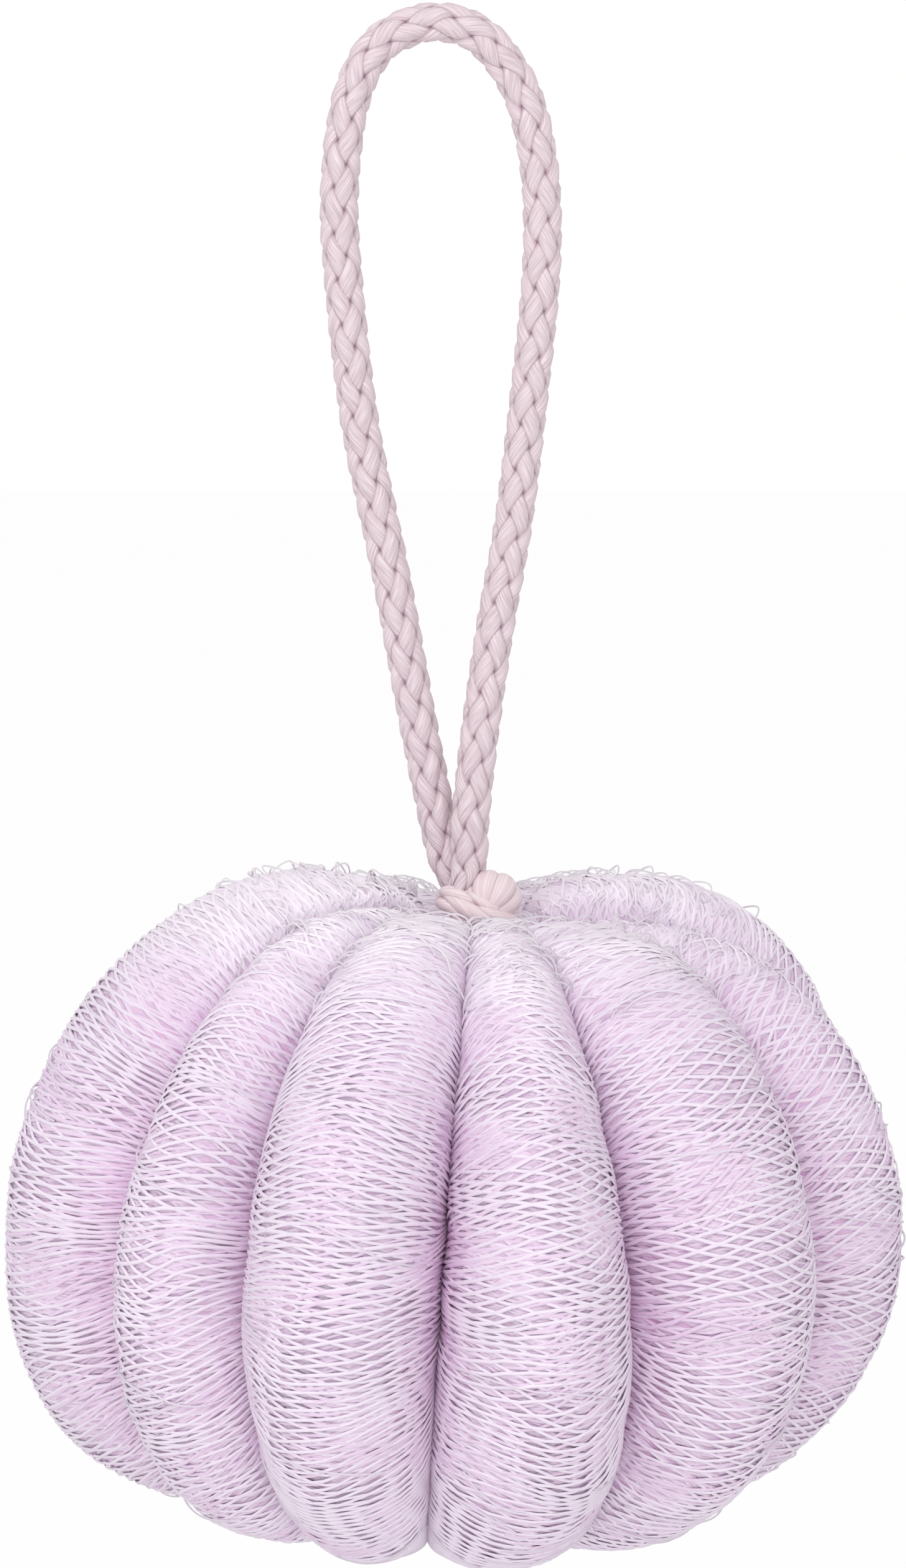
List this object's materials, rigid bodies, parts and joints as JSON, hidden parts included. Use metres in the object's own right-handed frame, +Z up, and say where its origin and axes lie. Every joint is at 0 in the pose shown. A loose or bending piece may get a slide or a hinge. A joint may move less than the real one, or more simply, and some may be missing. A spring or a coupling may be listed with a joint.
{
  "type": "bath sponge",
  "caption": "Pumpkin-shaped bath sponge of rolled plastic net, tied on a braided cord that ends in a knot and a long hanging loop.",
  "frame": {"origin": "the point where a hook touches the loop, on the underside of its crown; the sponge hangs below it", "axes": "+Z up, away from the sponge; +X to the right seen from the front; the front faces -Y"},
  "size_m": [0.1194, 0.1182, 0.2036],
  "materials": {
    "net": "soft translucent lilac plastic net with a slight sheen",
    "cord": "braided soft fibre cord in pale pink lilac, satin"
  },
  "bodies": {
    "root": {"net_roll_01": "net", "net_roll_02": "net", "net_roll_03": "net", "net_roll_04": "net", "net_roll_05": "net", "net_roll_06": "net", "net_roll_07": "net", "net_roll_08": "net", "net_roll_09": "net", "net_roll_10": "net", "net_roll_11": "net", "centre_tie": "cord", "knot": "cord", "hanging_loop": "cord"}
  },
  "joints": []
}
